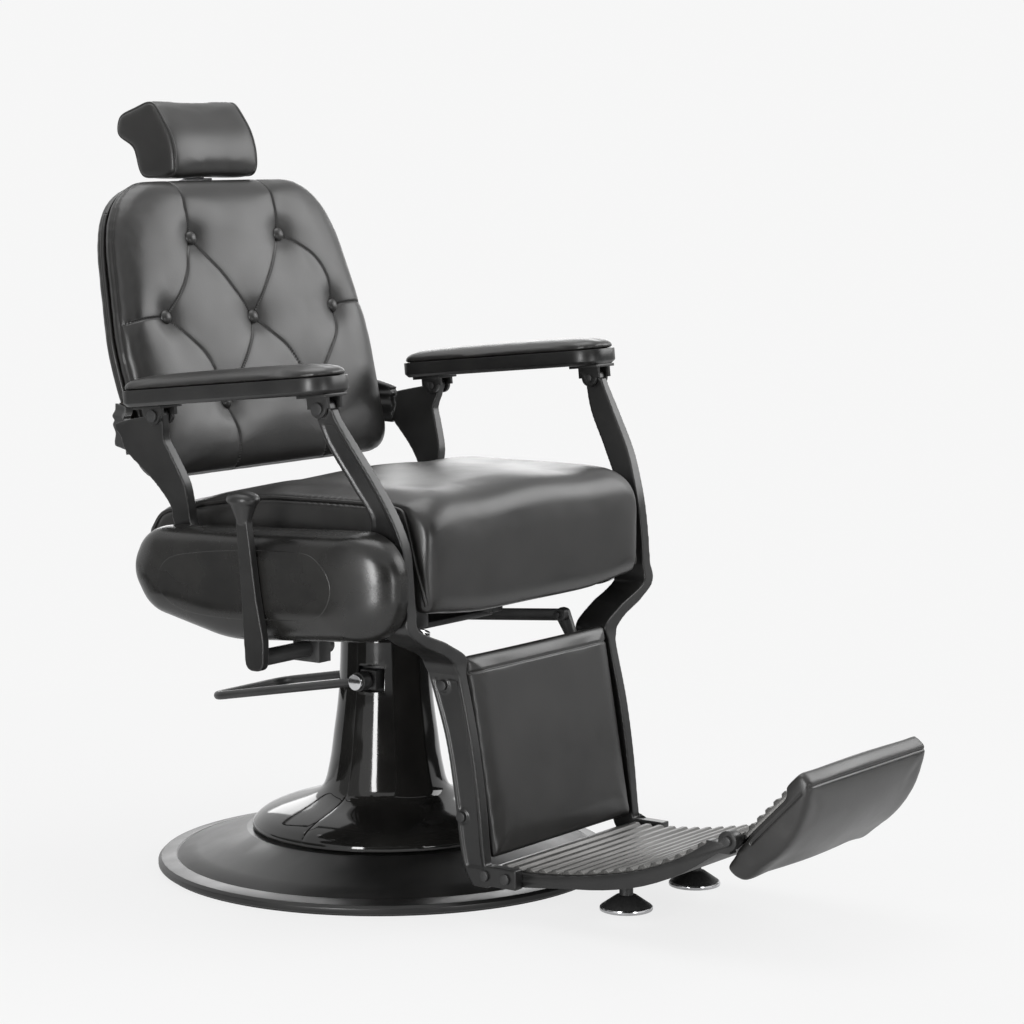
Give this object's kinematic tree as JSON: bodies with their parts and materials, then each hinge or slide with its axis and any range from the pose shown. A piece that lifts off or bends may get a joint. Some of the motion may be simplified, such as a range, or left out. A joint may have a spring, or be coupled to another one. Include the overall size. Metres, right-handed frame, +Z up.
{
  "type": "barber chair",
  "caption": "Padded barber chair on a round swivel base with a foot pump, reclining tufted back, linked leg frame, level arms, sliding headrest and folding foot pad.",
  "frame": {"origin": "on the floor under the middle of the round base, on the swivel axis", "axes": "+Z up, -Y to the front of the chair, +X to the sitter's left"},
  "size_m": [0.7092, 1.1796, 1.0554],
  "materials": {
    "rubber": "matte",
    "cast_black": "satin",
    "gloss_cover": "gloss",
    "leather": "satin grain",
    "steel": "brushed",
    "black_steel": "satin",
    "chrome": "polished",
    "bronze": "machined",
    "ply": "raw",
    "tread": "satin",
    "plastic": "matte"
  },
  "bodies": {
    "base": {"floor_pad": "rubber", "base_plate": "cast_black", "base_socket": "steel", "swivel_bush": "bronze", "socket_bolts": "steel"},
    "pump": {"pump_cylinder": "steel", "pump_head": "black_steel", "column_cover_front": "gloss_cover", "column_cover_rear": "gloss_cover", "pedal_pivots": "chrome"},
    "pedal": {"pedal_loop": "black_steel"},
    "seat": {"pump_ram": "chrome", "ram_plate": "black_steel", "seat_riser": "black_steel", "seat_crossbars": "black_steel", "side_plate_left": "black_steel", "side_plate_right": "black_steel", "front_pivot_pins": "steel", "seat_board": "ply", "seat_cushion": "leather", "side_cover_left": "gloss_cover", "side_cover_right": "gloss_cover", "lever_bracket": "black_steel"},
    "lever": {"recline_lever": "cast_black", "lever_knob": "plastic", "lever_shaft": "black_steel"},
    "front_frame": {"side_frame_left": "cast_black", "side_frame_right": "cast_black", "frame_bolts": "black_steel", "legrest_cushion": "leather", "legrest_board": "ply", "leg_cross_upper": "black_steel", "leg_cross_lower": "black_steel", "foot_plate": "cast_black", "foot_tread": "tread", "flip_hinge_rod": "black_steel", "foot_cones": "plastic", "foot_rings": "chrome"},
    "foot_flap": {"flip_plate": "tread", "flip_cushion": "leather"},
    "arm_left": {"arm_tray_left": "cast_black", "arm_pad_left": "leather", "arm_brackets_left": "cast_black", "arm_pins_left": "black_steel"},
    "arm_right": {"arm_tray_right": "cast_black", "arm_pad_right": "leather", "arm_brackets_right": "cast_black", "arm_pins_right": "black_steel"},
    "link": {"link_bar": "black_steel"},
    "back": {"back_tube": "black_steel", "back_arm_left": "cast_black", "back_arm_right": "cast_black", "back_cushion": "leather", "back_shell": "leather", "back_board": "ply", "back_buttons": "leather", "headrest_guide": "steel"},
    "headrest": {"headrest_bar": "chrome", "headrest_cushion": "leather"}
  },
  "joints": [
    {"name": "swivel", "type": "hinge", "parent": "base", "child": "pump", "pos_m": [0, 0, 0], "axis": [0, 0, 1], "continuous": true},
    {"name": "pedal_press", "type": "hinge", "parent": "pump", "child": "pedal", "pos_m": [0, -0.02, 0.268], "axis": [-1, 0, 0], "range_deg": [0, 20], "stiffness_Nm_per_rad": 8},
    {"name": "lift", "type": "slide", "parent": "pump", "child": "seat", "axis": [0, 0, 1], "range_m": [0, 0.15]},
    {"name": "lever_pull", "type": "hinge", "parent": "seat", "child": "lever", "pos_m": [0, -0.066, 0.341], "axis": [-1, 0, 0], "range_deg": [0, 20]},
    {"name": "recline", "type": "hinge", "parent": "seat", "child": "back", "pos_m": [0, 0.076, 0.426], "axis": [-1, 0, 0], "range_deg": [0, 40]},
    {"name": "leg_swing", "type": "hinge", "parent": "seat", "child": "front_frame", "pos_m": [0, -0.205, 0.45], "axis": [-1, 0, 0], "range_deg": [0, 40]},
    {"name": "arm_left_level", "type": "hinge", "parent": "front_frame", "child": "arm_left", "pos_m": [0, -0.143, 0.664], "axis": [-1, 0, 0], "range_deg": [-40, 0]},
    {"name": "arm_right_level", "type": "hinge", "parent": "front_frame", "child": "arm_right", "pos_m": [0, -0.143, 0.664], "axis": [-1, 0, 0], "range_deg": [-40, 0]},
    {"name": "link_level", "type": "hinge", "parent": "front_frame", "child": "link", "pos_m": [0, -0.202, 0.35], "axis": [-1, 0, 0], "range_deg": [-40, 0]},
    {"name": "foot_flip", "type": "hinge", "parent": "front_frame", "child": "foot_flap", "pos_m": [0, -0.66, 0.148], "axis": [-1, 0, 0], "range_deg": [0, 132]},
    {"name": "headrest_height", "type": "slide", "parent": "back", "child": "headrest", "axis": [0, 0.2706, 0.9627], "range_m": [0, 0.08]}
  ],
  "couplings": [
    {"joint": "leg_swing", "follows": "recline", "ratio": 1},
    {"joint": "arm_left_level", "follows": "recline", "ratio": -1},
    {"joint": "arm_right_level", "follows": "recline", "ratio": -1},
    {"joint": "link_level", "follows": "recline", "ratio": -1}
  ]
}
